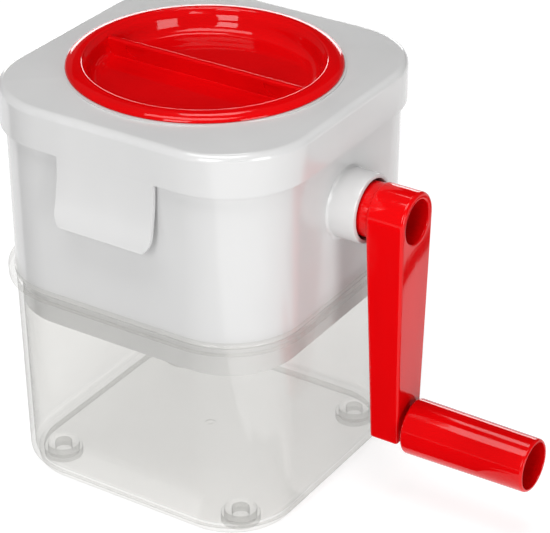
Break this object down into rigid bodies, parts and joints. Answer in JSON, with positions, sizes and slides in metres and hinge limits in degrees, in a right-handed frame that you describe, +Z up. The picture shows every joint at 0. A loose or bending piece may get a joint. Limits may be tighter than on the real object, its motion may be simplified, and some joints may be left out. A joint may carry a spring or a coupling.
{
  "type": "hand cranked ice shaver",
  "caption": "Square hand cranked ice shaver: clear ice bin, white housing and cover with lifting tab, round red lid with grip bar, red side crank that turns steel claws between fixed combs.",
  "frame": {"origin": "middle of the base of the ice bin, on the table", "axes": "+Z up, +X towards the crank, -Y the side with the lifting tab"},
  "size_m": [0.2023, 0.1292, 0.1624],
  "materials": {
    "clear_plastic": "clear, slightly milky",
    "white_plastic": "gloss",
    "red_plastic": "gloss",
    "cutting_steel": "brushed",
    "plain_steel": "bright",
    "grey_plastic": "satin"
  },
  "bodies": {
    "bin": {"ice_bin": "clear_plastic"},
    "housing": {"housing": "white_plastic", "hopper": "white_plastic", "hopper_screws": "plain_steel", "front_comb": "cutting_steel", "front_comb_screws": "plain_steel", "rear_comb": "cutting_steel", "rear_comb_screws": "plain_steel", "crank_side_bush": "grey_plastic", "far_side_bush": "grey_plastic"},
    "cover": {"cover": "white_plastic"},
    "lid": {"lid": "red_plastic"},
    "crank": {"crank_arm": "red_plastic", "crank_screw": "plain_steel", "crank_washer": "plain_steel", "drive_shaft": "plain_steel", "retaining_clip": "plain_steel", "grip_pin": "plain_steel", "claw_1": "cutting_steel", "claw_2": "cutting_steel", "claw_3": "cutting_steel", "claw_4": "cutting_steel", "claw_5": "cutting_steel", "spacer_1": "grey_plastic", "spacer_2": "grey_plastic", "spacer_3": "grey_plastic", "spacer_4": "grey_plastic", "spacer_5": "grey_plastic", "spacer_6": "grey_plastic"},
    "grip": {"crank_grip": "red_plastic"}
  },
  "joints": [
    {"name": "housing_lift", "type": "slide", "parent": "bin", "child": "housing", "axis": [0, 0, 1], "range_m": [0, 0.06]},
    {"name": "cover_lift", "type": "slide", "parent": "housing", "child": "cover", "axis": [0, 0, 1], "range_m": [0, 0.04]},
    {"name": "lid_lift", "type": "slide", "parent": "cover", "child": "lid", "axis": [0, 0, 1], "range_m": [0, 0.03]},
    {"name": "crank_turn", "type": "hinge", "parent": "housing", "child": "crank", "pos_m": [0.07413, 0, 0.1204], "axis": [1, 0, 0], "continuous": true},
    {"name": "grip_turn", "type": "hinge", "parent": "crank", "child": "grip", "pos_m": [0.09023, 0, 0.036], "axis": [1, 0, 0], "continuous": true}
  ]
}
